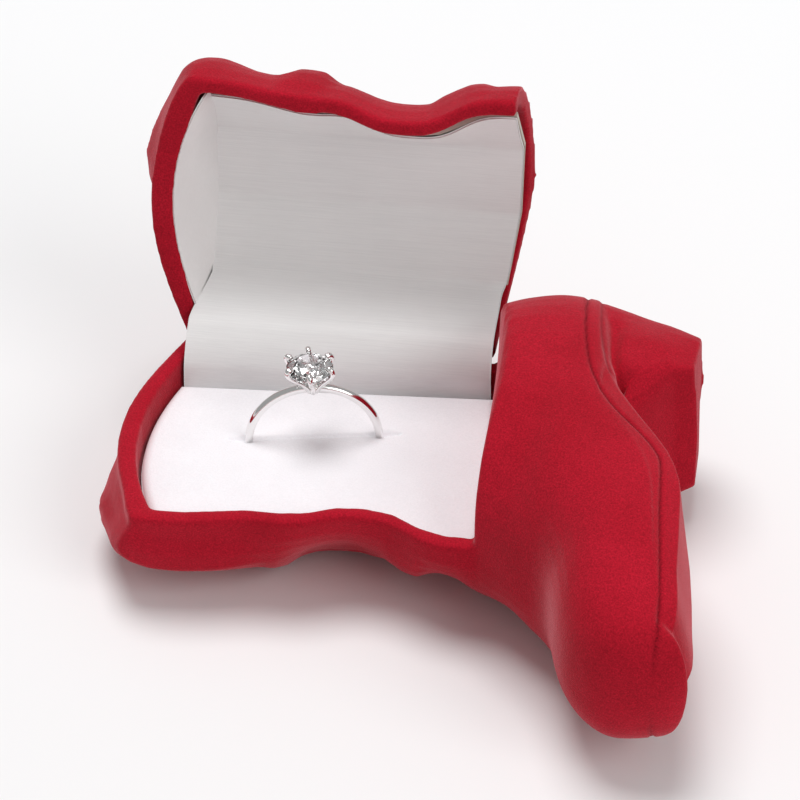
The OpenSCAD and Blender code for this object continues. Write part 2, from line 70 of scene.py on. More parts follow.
# ---------------------------------------------------------------- camera
def make_camera():
    az, el, roll = math.radians(8.7), math.radians(38.0), math.radians(-0.4)
    target = Vector((0.01075, 0.0093, 0.0165))
    back = Vector((math.sin(az) * math.cos(el), -math.cos(az) * math.cos(el), math.sin(el)))
    data = bpy.data.cameras.new("camera")
    data.lens, data.sensor_width = 162.0, 36.0
    data.clip_start, data.clip_end = 0.01, 20.0
    cam = bpy.data.objects.new("camera", data)
    bpy.context.scene.collection.objects.link(cam)
    turn = back.to_track_quat("Z", "Y") @ Matrix.Rotation(roll, 4, "Z").to_quaternion()
    cam.matrix_world = Matrix.Translation(target + back * 0.507) @ turn.to_matrix().to_4x4()
    bpy.context.scene.camera = cam


make_camera()


# ---------------------------------------------------------------- material helpers
class Nodes:
    """A material's node tree around one Principled BSDF, with short calls for the usual nodes."""

    def __init__(self, name):
        self.mat = bpy.data.materials.new(name)
        self.mat.use_nodes = True
        self.tree = self.mat.node_tree
        self.tree.nodes.clear()
        self.out = self.tree.nodes.new("ShaderNodeOutputMaterial")
        self.bsdf = self.tree.nodes.new("ShaderNodeBsdfPrincipled")
        self.tree.links.new(self.bsdf.outputs[0], self.out.inputs[0])
        self.coord = self.tree.nodes.new("ShaderNodeTexCoord").outputs["Object"]

    def put(self, socket, value):
        if isinstance(value, bpy.types.NodeSocket):
            self.tree.links.new(value, socket)
        else:
            socket.default_value = value

    def set(self, **values):
        for k, v in values.items():
            self.put(self.bsdf.inputs[k.replace("_", " ")], v)

    def node(self, kind, ins, out=0, **props):
        n = self.tree.nodes.new("ShaderNode" + kind)
        for k, v in props.items():
            setattr(n, k, v)
        for k, v in ins.items():
            self.put(n.inputs[k], v)
        return n.outputs[out]

    def mapped(self, scale):
        return self.node("Mapping", {"Vector": self.coord, "Scale": scale})

    def noise(self, scale, detail, rough, vector=None, distort=0.0):
        return self.node("TexNoise", {"Vector": vector or self.coord, "Scale": scale, "Detail": detail,
                                      "Roughness": rough, "Distortion": distort})

    def ramp(self, fac, stops):
        n = self.tree.nodes.new("ShaderNodeValToRGB")
        self.put(n.inputs[0], fac)
        while len(n.color_ramp.elements) < len(stops):
            n.color_ramp.elements.new(0.5)
        for e, (pos, col) in zip(n.color_ramp.elements, stops):
            e.position = pos
            e.color = (*col, 1)
        return n.outputs[0]

    def math(self, op, a, b=0.0, c=0.0):
        return self.node("Math", {0: a, 1: b, 2: c}, operation=op)

    def mix(self, fac, a, b, blend="MIX"):
        n = self.tree.nodes.new("ShaderNodeMix")
        n.data_type, n.blend_type = "RGBA", blend
        for k, v in ((0, fac), (6, a), (7, b)):
            if not isinstance(v, bpy.types.NodeSocket) and k > 0:
                v = (*v, 1)
            self.put(n.inputs[k], v)
        return n.outputs[2]

    def bump(self, height, distance, strength, normal=None):
        n = self.tree.nodes.new("ShaderNodeBump")
        n.inputs["Distance"].default_value = distance
        n.inputs["Strength"].default_value = strength
        self.put(n.inputs["Height"], height)
        if normal is not None:
            self.put(n.inputs["Normal"], normal)
        return n.outputs[0]


def gray(v):
    return (v, v, v)


# ---------------------------------------------------------------- materials
def flock_material():
    """Short red flock: soft nap clouds, a fine fibre speckle, a pale sheen at grazing angles and painted shade in
    the foot's grooves.
    """
    n = Nodes("red_flock")
    clouds = n.noise(70, 3.0, 0.55)
    brush = n.noise(1.0, 3.0, 0.6, n.mapped((260, 420, 420)), 0.6)
    grain = n.noise(4200, 2.0, 0.7)
    fine = n.noise(9000, 1.0, 0.6)
    tone = n.ramp(clouds, [(0.3, (0.37, 0.007, 0.018)), (0.7, (0.475, 0.011, 0.028))])
    tone = n.mix(n.math("MULTIPLY_ADD", brush, 0.45, 0.05), tone, (0.41, 0.008, 0.021))
    speck = n.ramp(grain, [(0.32, gray(0.66)), (0.55, gray(1.0)), (0.74, gray(1.34))])
    tone = n.mix(0.85, tone, speck, "MULTIPLY")
    # Painted shade: where the "pressed" attribute is set, along the foot's grooves, the flock is mixed toward a
    # near-black red.
    pressed = n.tree.nodes.new("ShaderNodeAttribute")
    pressed.attribute_name = "pressed"
    tone = n.mix(pressed.outputs["Fac"], tone, (0.10, 0.002, 0.006))
    height = n.math("ADD", n.math("MULTIPLY", grain, 0.7), n.math("MULTIPLY", fine, 0.3))
    normal = n.bump(height, 0.00016, 0.55, n.bump(brush, 0.0005, 0.12))
    n.set(Base_Color=tone, Roughness=0.95, Normal=normal)
    n.set(Specular_IOR_Level=0.06, Sheen_Weight=0.5, Sheen_Roughness=0.36)
    n.bsdf.inputs["Sheen Tint"].default_value = (1.0, 0.42, 0.46, 1)
    return n.mat


def velvet_material():
    """White short-pile velvet, a touch lavender."""
    n = Nodes("white_velvet")
    clouds = n.noise(120, 3.0, 0.5)
    grain = n.noise(3800, 2.0, 0.7)
    tone = n.ramp(clouds, [(0.3, (0.885, 0.865, 0.895)), (0.7, (0.925, 0.905, 0.935))])
    tone = n.mix(0.5, tone, n.ramp(grain, [(0.3, gray(0.9)), (0.7, gray(1.03))]), "MULTIPLY")
    n.set(Base_Color=tone, Roughness=0.95, Normal=n.bump(grain, 0.00012, 0.4, n.bump(clouds, 0.0006, 0.12)))
    n.set(Specular_IOR_Level=0.1, Sheen_Weight=0.25, Sheen_Roughness=0.4, Subsurface_Weight=0.05)
    n.bsdf.inputs["Subsurface Radius"].default_value = (0.0008, 0.0006, 0.0006)
    return n.mat


def satin_material():
    """White satin: fine slubbed threads along X, crossed by a closer faint warp."""
    n = Nodes("white_satin")
    slub = n.noise(1.0, 3.0, 0.65, n.mapped((90, 5200, 5200)))
    thread = n.noise(1.0, 2.0, 0.5, n.mapped((500, 11000, 11000)))
    warp = n.noise(1.0, 1.0, 0.5, n.mapped((9000, 700, 700)))
    clouds = n.noise(110, 2.0, 0.5)
    tone = n.ramp(slub, [(0.3, (0.79, 0.787, 0.785)), (0.68, (0.84, 0.838, 0.832))])
    tone = n.mix(0.5, tone, n.ramp(thread, [(0.3, gray(0.965)), (0.7, gray(1.02))]), "MULTIPLY")
    tone = n.mix(0.5, tone, n.ramp(clouds, [(0.3, gray(0.97)), (0.7, gray(1.03))]), "MULTIPLY")
    height = n.math("ADD", n.math("MULTIPLY", slub, 0.6), n.math("ADD", n.math("MULTIPLY", thread, 0.3),
                                                                 n.math("MULTIPLY", warp, 0.12)))
    n.set(Base_Color=tone, Roughness=n.ramp(slub, [(0.3, gray(0.52)), (0.7, gray(0.4))]),
          Normal=n.bump(height, 0.00004, 0.5))
    n.set(Specular_IOR_Level=0.35, Anisotropic=0.5, Sheen_Weight=0.15, Sheen_Roughness=0.35)
    return n.mat


def card_material(name, low, high):
    """Uncoated card with faint fibres."""
    n = Nodes(name)
    fibre = n.noise(1.0, 4.0, 0.6, n.mapped((1500, 900, 900)), 1.2)
    cloud = n.noise(240, 2.0, 0.5)
    tone = n.mix(n.math("MULTIPLY_ADD", fibre, 0.7, n.math("MULTIPLY", cloud, 0.3)), low, high)
    n.set(Base_Color=tone, Roughness=0.78, Normal=n.bump(fibre, 0.00006, 0.35))
    n.set(Specular_IOR_Level=0.25)
    return n.mat


def foam_material():
    n = Nodes("white_foam")
    cells = n.node("TexVoronoi", {"Vector": n.coord, "Scale": 2600.0})
    n.set(Base_Color=n.ramp(cells, [(0.0, gray(0.62)), (0.5, gray(0.86))]), Roughness=0.95,
          Normal=n.bump(cells, 0.0002, 0.6))
    n.set(Specular_IOR_Level=0.1)
    return n.mat


def steel_material():
    """Thin pressed sheet steel with drawing lines."""
    n = Nodes("hinge_steel")
    lines = n.noise(1.0, 3.0, 0.6, n.mapped((120, 6000, 6000)))
    smut = n.noise(300, 3.0, 0.6)
    tone = n.mix(smut, (0.50, 0.50, 0.51), (0.62, 0.62, 0.62))
    n.set(Base_Color=tone, Roughness=n.ramp(lines, [(0.3, gray(0.28)), (0.7, gray(0.42))]),
          Normal=n.bump(lines, 0.00002, 0.4))
    n.set(Metallic=1.0)
    return n.mat


def silver_material():
    """Polished silver with the faintest polishing haze."""
    n = Nodes("polished_silver")
    haze = n.noise(900, 3.0, 0.6)
    scratch = n.noise(1.0, 2.0, 0.5, n.mapped((6000, 900, 6000)))
    tone = n.mix(haze, (0.84, 0.83, 0.82), (0.90, 0.895, 0.89))
    n.set(Base_Color=tone, Roughness=n.ramp(haze, [(0.3, gray(0.06)), (0.8, gray(0.15))]),
          Normal=n.bump(scratch, 0.000004, 0.3))
    n.set(Metallic=1.0)
    return n.mat


def crystal_material():
    """Clear brilliant-cut stone."""
    n = Nodes("crystal")
    cloud = n.noise(500, 2.0, 0.5)
    n.set(Base_Color=n.mix(cloud, (0.97, 0.985, 1.0), (1.0, 1.0, 1.0)), Roughness=0.0)
    n.set(IOR=2.1, Transmission_Weight=1.0)
    return n.mat


FLOCK, VELVET, SATIN = flock_material(), velvet_material(), satin_material()
CARD = card_material("grey_card", (0.50, 0.46, 0.40), (0.62, 0.58, 0.51))
WHITE_CARD = card_material("white_card", (0.78, 0.775, 0.77), (0.86, 0.855, 0.85))
FOAM, STEEL, SILVER, CRYSTAL = foam_material(), steel_material(), silver_material(), crystal_material()

DRESS = {
    "base_shell": FLOCK, "foot_cover": FLOCK, "lid_shell": FLOCK, "pad_card": CARD, "pad_foam": FOAM,
    "lid_card": CARD, "lid_end_card": WHITE_CARD, "hinge_base_leaf": STEEL, "hinge_lid_leaf": STEEL,
    "hinge_pin": STEEL, "ring_band": SILVER, "ring_setting": SILVER, "ring_stone": CRYSTAL,
    "pad_velvet": VELVET, "lid_satin": SATIN, "satin_flap": SATIN,
}
for name, mat in DRESS.items():
    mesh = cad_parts[name].data
    mesh.materials.clear()
    mesh.materials.append(mat)


# ---------------------------------------------------------------- mesh helpers
def add_mesh(name, verts, faces, mat, smooth=True):
    mesh = bpy.data.meshes.new(name)
    mesh.from_pydata([tuple(v) for v in verts], [], [tuple(f) for f in faces])
    mesh.validate()
    mesh.update()
    obj = bpy.data.objects.new(name, mesh)
    bpy.context.scene.collection.objects.link(obj)
    mesh.materials.append(mat)
    mesh.polygons.foreach_set("use_smooth", [smooth] * len(mesh.polygons))
    return obj


def grid_faces(rows, cols, start=0, wrap=False):
    """Quads between the rows of a grid of points; wrap closes each row."""
    out = []
    for i in range(rows - 1):
        for j in range(cols if wrap else cols - 1):
            a, b = start + i * cols + j, start + i * cols + (j + 1) % cols
            out.append((a, b, b + cols, a + cols))
    return out


def border(nu, nv):
    """Indices around the edge of a grid of points."""
    return ([i * nv for i in range(nu)] + [(nu - 1) * nv + j for j in range(1, nv)]
            + [i * nv + nv - 1 for i in range(nu - 2, -1, -1)] + list(range(nv - 2, 0, -1)))


# ---------------------------------------------------------------- shapes shared with part.scad
def front_dent(x):
    """How far the front wall is pushed in at x, by the slouch."""
    return 1.9 * np.exp(-((x - 17) / 7) ** 2) + 4.3 * np.exp(-np.abs((x - 31.3) / 7.6) ** 3)


def left_x(y):
    """The boot top's edge."""
    t = np.maximum(0, -np.asarray(y, float) / SHAFT_W)
    return 1.9 * t ** 3 - 4.24 * 5.1 * t ** 1.15 * (1 - t)


def ankle_x(y):
    """The lid's edge at the ankle."""
    t = -np.asarray(y, float) / SHAFT_W
    return SHAFT_LEN - 2 * (1 - t) + 0.8 * 4 * np.maximum(0, t * (1 - t))


def set_back(z):
    """How far the lid's ankle edge stands back at height z."""
    w = np.clip((z - 0.35 * HALF_T) / (0.65 * HALF_T), 0, 1)
    return 1.8 * (1 - np.sqrt(1 - w * w))


IN_HALF, MID_Y, IN_TOP = (SHAFT_W + BACK_Y) / 2 - WALL, (-SHAFT_W + BACK_Y) / 2, HALF_T - ROOF_WALL


def fold_pt(y, gap):
    """A point (y, z) under the closed lid's roof, gap below it."""
    u = abs((y - MID_Y) / IN_HALF)
    return np.array([y, RIM_GAP + LAND + (IN_TOP - LAND - gap) * (1 - u ** FULL) ** (1 / FULL)])


def opened(y, z):
    """A closed lid's (y, z), turned open."""
    c, s, k = math.cos(OPEN), math.sin(OPEN), RIM_GAP / 2
    return y * c + (z - k) * s, k - y * s + (z - k) * c


def closed(y, z):
    """An open lid's (y, z), turned closed."""
    c, s, k = math.cos(OPEN), math.sin(OPEN), RIM_GAP / 2
    return y * c - (z - k) * s, k + y * s + (z - k) * c


def lerp(a, b, t):
    """From a to b as t goes from 0 to 1."""
    return a + (b - a) * t


def ease(a, b, x):
    """0 at a and 1 at b, eased between them; b may be less than a."""
    t = np.clip((x - a) / (b - a), 0, 1)
    return t * t * (3 - 2 * t)


def catmull(points, n):
    """n points on a smooth curve through the given ones."""
    p = np.asarray(points, float)
    q = np.vstack([2 * p[0] - p[1], p, 2 * p[-1] - p[-2]])
    out = []
    for t in np.linspace(0, len(p) - 1, n):
        k = min(int(t), len(p) - 2)
        f = t - k
        a, b, c, d = q[k:k + 4]
        out.append(0.5 * (2 * b + (c - a) * f + (2 * a - 5 * b + 4 * c - d) * f ** 2
                          + (3 * b - a - 3 * c + d) * f ** 3))
    return np.array(out)


# ---------------------------------------------------------------- flocked shells
def read_points(mesh):
    co = np.empty(len(mesh.vertices) * 3)
    mesh.vertices.foreach_get("co", co)
    return co.reshape(-1, 3) / MM + ORIGIN


def write_points(mesh, p):
    mesh.vertices.foreach_set("co", at(p).ravel())
    mesh.update()


def relax(p, edges, weight, rounds):
    """Laplacian smoothing of points, by weight."""
    a, b = edges[:, 0], edges[:, 1]
    n = len(p)
    count = np.maximum(np.bincount(a, minlength=n) + np.bincount(b, minlength=n), 1)
    w = (0.5 * weight)[:, None]
    for _ in range(rounds):
        mean = np.stack([(np.bincount(a, p[b, k], n) + np.bincount(b, p[a, k], n)) / count for k in range(3)], -1)
        p = p + (mean - p) * w
    return p


def nearest(q, line):
    """Distance from each point to a polyline of close points, and the index of the nearest one."""
    best, index = np.full(len(q), 1e9), np.zeros(len(q), int)
    for k in range(0, len(q), 20000):
        d = ((q[k:k + 20000, None] - line[None]) ** 2).sum(-1)
        index[k:k + 20000] = d.argmin(1)
        best[k:k + 20000] = d.min(1)
    return np.sqrt(best), index


def slab(a, b):
    """Points and faces of a closed slab between two grids of the same size."""
    nu, nv = a.shape[:2]
    k = nu * nv
    faces = [f[::-1] for f in grid_faces(nu, nv)] + grid_faces(nu, nv, k)
    loop = border(nu, nv)
    m = len(loop)
    faces += [(loop[i], loop[(i + 1) % m], k + loop[(i + 1) % m], k + loop[i]) for i in range(m)]
    return np.vstack([a.reshape(-1, 3), b.reshape(-1, 3)]), faces


NUDGE = 0.00005    # metres between copies, so that touching faces don't coincide


def skin(name, nodes, filler):
    """One even mesh over copies of CAD nodes and a filler, as the flock covers them; and its edges."""
    verts, faces, k = [], [], 0
    for i, node in enumerate(nodes):
        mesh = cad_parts[node].data
        co = np.empty(len(mesh.vertices) * 3)
        mesh.vertices.foreach_get("co", co)
        verts.append(co.reshape(-1, 3) - [0, 0, NUDGE * i])
        faces += [tuple(k + v for v in f.vertices) for f in mesh.polygons]
        k += len(mesh.vertices)
    pts, fs = slab(*filler)
    verts.append(at(pts))
    faces += [tuple(k + v for v in f) for f in fs]
    obj = add_mesh(name, np.vstack(verts), faces, FLOCK)
    mod = obj.modifiers.new("even", "REMESH")
    mod.mode, mod.voxel_size = "VOXEL", VOXEL * MM
    graph = bpy.context.evaluated_depsgraph_get()
    mesh = bpy.data.meshes.new_from_object(obj.evaluated_get(graph))
    obj.modifiers.clear()
    obj.data = mesh
    mesh.materials.clear()
    mesh.materials.append(FLOCK)
    mesh.polygons.foreach_set("use_smooth", [True] * len(mesh.polygons))
    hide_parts(*nodes)
    edges = np.empty(len(mesh.edges) * 2, int)
    mesh.edges.foreach_get("vertices", edges)
    return obj, edges.reshape(-1, 2)


# Lines of the foot, seen from above, and their samples.
SEAT_EDGE = [(50.7, 5.0), (56.2, 5.7), (60.6, 3.8), (62.4, -3.2)]
SOLE = catmull([(63, -12.2), (64.6, -18.6), (68.6, -25.6), (72.8, -32), (75.6, -38.5), (76.8, -46),
                (77.6, -54), (78.2, -60.5), (77, -65.5)], 500)
OUTLINE = np.vstack([catmull(SEAT_EDGE + [(63, -12.2)], 200), SOLE])
WELT = catmull([(57.4, 4.5), (57.9, -0.1), (58.5, -8.6), (59.1, -13.8), (60.2, -19.4), (61.6, -23.1),
                (64.2, -27.4), (68.1, -31.5), (70.4, -34.3), (71.5, -37.2), (72.2, -46), (73.0, -54),
                (73.6, -60.5), (73.7, -65), (73.4, -68)], 600)
SEAT = catmull([(59.5, 5), (60, -0.3), (60.7, -8.7), (61.3, -13), (62.0, -16), (63.2, -19.4)], 200)


# The sole's side at stations along SOLE: how far its edge leans in, the edge's height over the split, and the
# upper's height where the slope behind the edge ends.
EDGE_IN = [0.3, 0.8, 1.2, 1.3, 1.6, 2.1, 2.5, 2.5, 2.0]
EDGE_HEIGHT = [14, 13.9, 13.8, 13.4, 12.9, 12.2, 11.2, 9.4, 7.0]
UPPER_HEIGHT = [16.6, 16.3, 15.9, 15.4, 14.8, 14.0, 12.8, 11.4, 11.0]
SLOPE_END = 5.6


def sharpen_sole(p):
    """The sole's side leans in to a crisp edge, and the upper slopes up from it."""
    z = np.abs(p[:, 2])
    idx = np.where((p[:, 0] > 62) & (p[:, 1] < -12.5) & (z < 17.5))[0]
    d, k = nearest(p[idx, :2], SOLE)
    keep = (d < 7) & (k > 2) & (k < len(SOLE) - 2)
    idx, d, k = idx[keep], d[keep], k[keep]
    tan = np.gradient(SOLE, axis=0)
    tan /= np.linalg.norm(tan, axis=1)[:, None]
    inward = np.stack([tan[:, 1], -tan[:, 0]], -1)
    d = ((p[idx, :2] - SOLE[k]) * inward[k]).sum(1)
    t = k / (len(SOLE) - 1) * 8
    de, ze, top = (np.interp(t, range(9), row) for row in (EDGE_IN, EDGE_HEIGHT, UPPER_HEIGHT))
    w = ease(0.2, 1.2, t) * (1 - ease(7.6, 8.0, t))
    q = p[idx].copy()
    zz = np.abs(q[:, 2])
    sign = np.sign(q[:, 2])
    for _ in range(3):
        slope = de / ze
        over = (slope * zz - d) / (1 + slope ** 2)
        over = np.where((over > 0) & (zz < ze + 1.0), over, 0)
        d = d + over
        zz = zz - over * slope
        rise = (top - ze) / (SLOPE_END - de)
        high = (zz - ze - rise * (d - de)) / (1 + rise ** 2)
        high = np.where((high > 0) & (d < SLOPE_END), high, 0)
        zz = zz - high
        d = d + high * rise
    d0 = ((q[:, :2] - SOLE[k]) * inward[k]).sum(1)
    p[idx, :2] += inward[k] * ((d - d0) * w)[:, None]
    p[idx, 2] += sign * (zz - np.abs(q[:, 2])) * w
    return p


def shape_heel(p):
    """The heel's front face runs back toward the top-lift, and its edges are crisp."""
    x, y, z = p.T
    m = ease(62.3, 64.3, x) * ease(-18.9, -17.9, y)    # 1 on the heel
    u = np.clip((x - 57.4) / 19, 0, 1)                 # from the seat to the top-lift
    yf, yb = -17 - 0.4 * u, lerp(4.4, -0.2, u) + 5.6 * u * (1 - u)
    h = lerp(14.62, 10.2, u ** 0.8)
    # From a rounded outline to a nearly square one at the front, in shares of the half width c and height zn.
    c, zn = 2 * (y - yf) / (yb - yf) - 1, np.abs(z) / h
    a = np.maximum(np.abs(c), 1e-6)
    r6 = (a ** 6 + zn ** 6) ** (1 / 6)
    r16 = (a ** 16 + zn ** 16) ** (1 / 16)
    grow = np.where(c < 0, r6 / np.maximum(r16, 1e-6), 1)
    grow = 1 + (grow - 1) * ease(0, 0.5, -c) * m
    c, zn = c * grow, zn * grow
    h = lerp(h, lerp(14.9, 10.2, u ** 1.5), ease(0.4, -0.4, c))
    yf2 = yf + 0.5 * np.maximum(0, x - 63.6)
    v = np.clip((1 + c) / 2, 0, 1)
    y2 = lerp(yf2, yb, (1 + c) / 2)
    out = p.copy()
    out[:, 0] = x - 1.4 * (1 - v) * np.clip((z + 10) / 20, 0, 1) * ease(66, 76, x) * m
    end = np.quantile(out[(x > 72) & (y > -16), 0], 0.92)
    out[:, 0] = np.where((x > 72) & (y > -20.5), np.minimum(out[:, 0], end), out[:, 0])
    out[:, 1] = y + (y2 - y) * m
    out[:, 2] = z + (np.sign(z) * zn * h - z) * m
    return out


def crease(mesh, p, groove_shade, line, depth, width, tint):
    """Presses a soft line into the upper and under sides of the foot, and records painted shade along the groove.
    """
    normal = np.empty(len(mesh.vertices) * 3)
    mesh.vertices.foreach_get("normal", normal)
    normal = normal.reshape(-1, 3)
    idx = np.where((p[:, 0] > 50) & (np.abs(normal[:, 2]) > 0.1) & (np.abs(p[:, 2]) > 2))[0]
    d, k = nearest(p[idx, :2], line)
    t = k / (len(line) - 1)
    fade = ease(0, 0.04, t) * (1 - ease(0.94, 1, t))
    p[idx] -= normal[idx] * (depth * np.exp(-(d / width) ** 2) * fade)[:, None]
    # The painted shade along the groove, as dark as tint asks, is stored for each point.
    groove_shade[idx] = np.maximum(groove_shade[idx], tint * np.exp(-(d / (0.62 * width)) ** 2) * fade)
    return p


# The front wall's two dents: x, half length, depth, and the middle and reach around the shell in degrees.
DENTS = ((27, 8, -2.9, 136, 50), (39.5, 8, -2.4, 132, 48))


def dent_filler():
    """Backs the front wall where its deepest dent thins it away."""
    x, a = np.meshgrid(np.linspace(14, 46, 60), np.radians(np.linspace(164, 96, 50)), indexing="ij")
    c, up = -np.abs(np.cos(a)) ** (2 / FULL), np.sin(a) ** (2 / FULL)
    y0 = lerp(-SHAFT_W, BACK_Y, (1 + c) / 2)
    d = 0 * x
    for at_x, half, depth, mid, reach in DENTS:
        u = np.clip(np.abs((x - at_x) / half), 0, 1)
        v = np.clip(np.abs((np.degrees(a) - mid) / reach), 0, 1)
        d = d + depth * (1 - u ** 4) ** 2 * (1 - v * v) ** 2
    y = y0 + front_dent(x) * (-c) ** 1.8 + d * c
    z = LAND + (HALF_T - LAND) * up + d * up
    outer = np.stack([x, y - 0.25 * c, -(z - 0.25 * up)], -1)
    inner = np.stack([x, y - 1.5 * c, -(z - 1.5 * up)], -1)
    return outer, inner


def lip_filler():
    """A thicker lip along the lid's left end."""
    y, x = np.meshgrid(np.linspace(-0.95, -0.01, 90) * SHAFT_W, np.linspace(0, 1, 5), indexing="ij")
    t = y / SHAFT_W
    x = left_x(y) + lerp(1.2, WALL + 0.85 * ease(-0.01, -0.25, t) * ease(-0.95, -0.8, t), x)
    rows = [np.stack([x, *opened(y, z + 0 * x)], -1) for z in (RIM_GAP + 0.15, 5.0)]
    return rows[0], rows[1]


def rim(z):
    """1 near the split between the shells, fading away from it."""
    return np.clip(1.35 - np.abs(z) / 1.3, 0, 1)


def make_boot():
    """The flocked base and foot as one skin: smoothed, its sole and heel crisp, its seams pressed in and darkened
    with painted shade.
    """
    obj, edges = skin("flocked_boot", ["base_shell", "foot_cover"], dent_filler())
    mesh = obj.data
    p = read_points(mesh)
    p = relax(p, edges, np.ones(len(p)), 5)
    p = relax(p, edges, (p[:, 0] < 44) * rim(p[:, 2]), 6)
    foot = np.where((p[:, 0] > 48) & (np.abs(p[:, 2]) > 3))[0]
    d = nearest(p[foot, :2], OUTLINE)[0]
    groove = np.zeros(len(p))
    groove[foot] = np.exp(-((d - 4.7) / 2.0) ** 4)
    p = relax(p, edges, groove, 150)
    p = relax(p, edges, ease(-57, -63, p[:, 1]) * (p[:, 0] > 50), 60)
    p[:, 0] += 1.3 * ease(-59.5, -65, p[:, 1]) * ease(69, 75, p[:, 0])
    p = shape_heel(sharpen_sole(p))
    p = relax(p, edges, np.ones(len(p)), 2)
    seat = np.exp(-(((p[:, 0] - 63.6) / 1.8) ** 4 + ((p[:, 1] + 18.2) / 2.2) ** 4))
    top_lift = ease(75.6, 76.4, p[:, 0]) * ease(-19.5, -18, p[:, 1])
    p = relax(p, edges, np.maximum(seat, top_lift), 14)
    write_points(mesh, p)
    # Painted shade for the welt and seat grooves, stored on the mesh as the "pressed" attribute.
    groove_shade = np.zeros(len(p))
    p = crease(mesh, p, groove_shade, WELT, 0.3, 0.3, 0.8)
    p = crease(mesh, p, groove_shade, SEAT, 0.16, 0.35, 0.5)
    write_points(mesh, p)
    mesh.attributes.new("pressed", "FLOAT", "POINT").data.foreach_set("value", groove_shade)
    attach(obj, "base")


def make_lid():
    """The flocked lid as one skin, with its rim rounded over."""
    obj, edges = skin("flocked_lid", ["lid_shell"], lip_filler())
    mesh = obj.data
    p = read_points(mesh)
    p = relax(p, edges, np.ones(len(p)), 5)
    z = closed(p[:, 1], p[:, 2])[1]
    p = relax(p, edges, rim(z - RIM_GAP), 5)
    write_points(mesh, p)
    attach(obj, "lid")


make_boot()
make_lid()


# ---------------------------------------------------------------- velvet pad
def make_pad():
    """The velvet pad: a soft crown, rounded edges and the slit that holds the ring."""
    nu, nv = 241, 161
    inset, drop, r = WALL + 0.5, 3.0, 1.5
    u, v = np.meshgrid(np.linspace(0, 1, nu), np.linspace(0, 1, nv), indexing="ij")
    x = np.zeros_like(u) + 20.0
    for _ in range(6):
        front = -SHAFT_W + inset + 0.15 + front_dent(x)
        back = -7.25 + x * SKEW
        y = front + (back - front) * v
        x0, x1 = left_x(y) + inset, ankle_x(y) - 0.5
        x = x0 + (x1 - x0) * u
    edge = np.minimum.reduce([(x - x0), (x1 - x) + 0.7, (y - front), (back - y)])
    fall = np.where(edge < r, r - np.sqrt(np.maximum(0, r * r - (r - edge) ** 2)), 0)
    crown = 0.25 * np.clip(edge / 12, 0, 1)
    dx, dy = x - RING_AT[0], y - RING_AT[1]
    along = dx * math.cos(RING_TURN) + dy * math.sin(RING_TURN)
    across = -dx * math.sin(RING_TURN) + dy * math.cos(RING_TURN)
    end = np.maximum(0, np.abs(along) - 11.9)
    d = np.sqrt(across ** 2 + end ** 2)
    held = np.exp(-((np.abs(along) - 9.5) / 1.5) ** 2)
    slit = (0.45 + 0.35 * held) * np.exp(-(d / (0.24 + 0.45 * held)) ** 2)
    slit = slit - 0.06 * np.exp(-((d - 1.3) / 0.9) ** 2)
    z = -drop - 0.05 - fall + crown - slit
    top = np.stack([x, y, z], -1).reshape(-1, 3)
    faces = grid_faces(nu, nv)
    loop = border(nu, nv)
    low = top[loop]
    low[:, 2] = -drop - 3.2
    k, m = len(top), len(loop)
    faces += [(loop[(i + 1) % m], loop[i], k + i, k + (i + 1) % m) for i in range(m)]
    faces.append(tuple(k + i for i in range(m)))
    obj = add_mesh("velvet_pad", at(np.vstack([top, low])), faces, VELVET)
    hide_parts("pad_velvet", "pad_foam")
    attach(obj, "base")


make_pad()


# ---------------------------------------------------------------- satin: the lid's lining and the flap
def solid_sheet(name, grid, normals, t, mat):
    """A closed sheet of thickness t from a grid of points and their normals."""
    points, faces = slab(grid, grid + normals * t)
    return add_mesh(name, at(points), faces, mat)


def grid_normals(g):
    n = np.cross(np.gradient(g, axis=0), np.gradient(g, axis=1))
    return n / np.linalg.norm(n, axis=-1, keepdims=True)


# The lining's folds under the closed lid.
CREASES = [fold_pt(-0.69 * SHAFT_W, 0.8), fold_pt(-0.403 * SHAFT_W, 0.3), fold_pt(-0.165 * SHAFT_W, 0.7)]


def cloth_path(x, n):
    """The satin's path at one x, opened: up the front wall, three panels, then the flap over the hinge."""
    start = fold_pt(MID_Y - FRONT_FOLD * IN_HALF, 0) + [0.7 + front_dent(x) * 0.95, -0.5]
    pts = np.array([start, *CREASES])
    d = np.gradient(pts, axis=0)
    side = np.stack([d[:, 1], -d[:, 0]], -1)
    side /= np.linalg.norm(side, axis=1, keepdims=True)
    pts = pts + side * 0.95
    k = x * SKEW
    fold = np.array(opened(*pts[3]))
    tail = catmull([fold, (6.2, 5.2), (0, 4.35), (-3.4 + 0.2 * k, 2.35), (-5.65 + 0.6 * k, -0.3),
                    (-6.25 + 0.88 * k, -2.2), (-6.65 + k, -5)], 60)
    poly = np.vstack([[opened(*q) for q in pts[:3]], tail])
    seg = np.concatenate([[0], np.cumsum(np.linalg.norm(np.diff(poly, axis=0), axis=1))])
    t = np.linspace(0, seg[-1], n)
    raw = np.stack([np.interp(t, seg, poly[:, i]) for i in range(2)], -1)
    for _ in range(10):
        raw[1:-1] = 0.25 * raw[:-2] + 0.5 * raw[1:-1] + 0.25 * raw[2:]
    return raw, t


